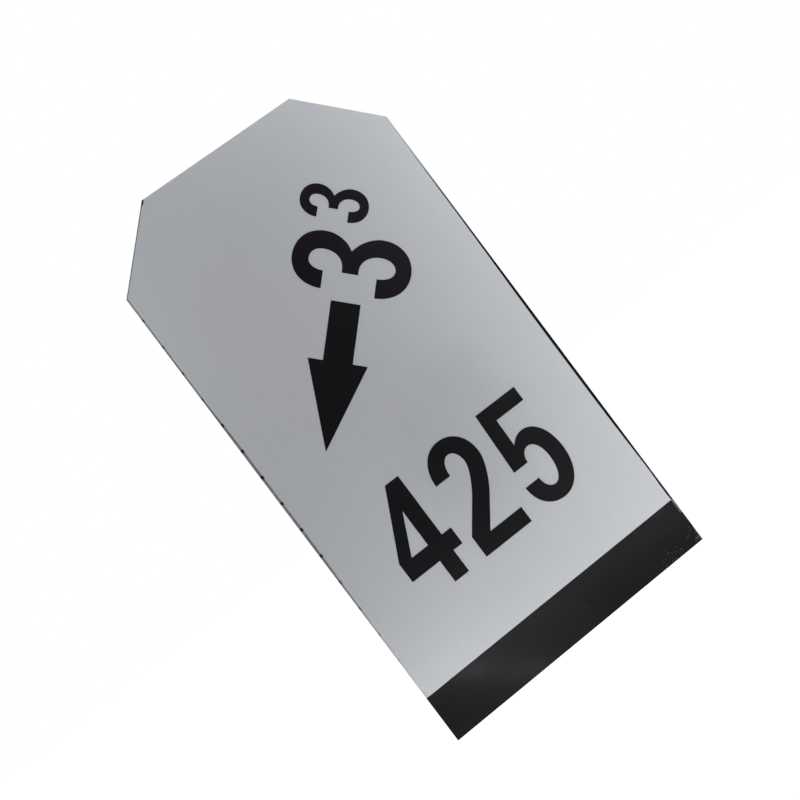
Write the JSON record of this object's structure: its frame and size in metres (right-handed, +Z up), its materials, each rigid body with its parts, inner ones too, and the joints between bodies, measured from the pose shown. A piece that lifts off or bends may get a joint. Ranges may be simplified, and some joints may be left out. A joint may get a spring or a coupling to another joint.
{
  "type": "kilometre marker sign",
  "caption": "Tall reflective lineside marker plate with cut top corners, a dark slanted arrow, figures and foot band, on slotted back rails with sliding T-bolts.",
  "frame": {"origin": "centre of the four rear studs, in the plane of the nuts' rear faces", "axes": "+Z up, +Y from the face to the back, so the face looks towards -Y, +X to the right of someone who reads the face"},
  "size_m": [0.32, 0.0604, 0.6],
  "materials": {
    "sheet_aluminium": "mill finish, weathered at the cut edges",
    "reflective_film": "satin silver-white reflective sheeting",
    "dark_film": "semi-gloss near-black cut film",
    "rail_aluminium": "extruded mill finish",
    "rivet_aluminium": "set, dull",
    "zinc_steel": "zinc plated"
  },
  "bodies": {
    "sign": {"sign_plate": "sheet_aluminium", "reflective_face": "reflective_film", "foot_band": "dark_film", "figure_four": "dark_film", "figure_two": "dark_film", "figure_five": "dark_film", "rate_three": "dark_film", "decimal_three": "dark_film", "slope_arrow": "dark_film", "upper_rail": "rail_aluminium", "upper_rivets": "rivet_aluminium", "lower_rail": "rail_aluminium", "lower_rivets": "rivet_aluminium"},
    "upper_left_stud": {"upper_left_bolt": "zinc_steel", "upper_left_plain_washer": "zinc_steel", "upper_left_spring_washer": "zinc_steel", "upper_left_nut": "zinc_steel"},
    "upper_right_stud": {"upper_right_bolt": "zinc_steel", "upper_right_plain_washer": "zinc_steel", "upper_right_spring_washer": "zinc_steel", "upper_right_nut": "zinc_steel"},
    "lower_left_stud": {"lower_left_bolt": "zinc_steel", "lower_left_plain_washer": "zinc_steel", "lower_left_spring_washer": "zinc_steel", "lower_left_nut": "zinc_steel"},
    "lower_right_stud": {"lower_right_bolt": "zinc_steel", "lower_right_plain_washer": "zinc_steel", "lower_right_spring_washer": "zinc_steel", "lower_right_nut": "zinc_steel"}
  },
  "joints": [
    {"name": "upper_left_slide", "type": "slide", "parent": "sign", "child": "upper_left_stud", "axis": [1, 0, 0], "range_m": [-0.061, 0.048]},
    {"name": "upper_right_slide", "type": "slide", "parent": "sign", "child": "upper_right_stud", "axis": [1, 0, 0], "range_m": [-0.048, 0.061]},
    {"name": "lower_left_slide", "type": "slide", "parent": "sign", "child": "lower_left_stud", "axis": [1, 0, 0], "range_m": [-0.061, 0.048]},
    {"name": "lower_right_slide", "type": "slide", "parent": "sign", "child": "lower_right_stud", "axis": [1, 0, 0], "range_m": [-0.048, 0.061]}
  ]
}
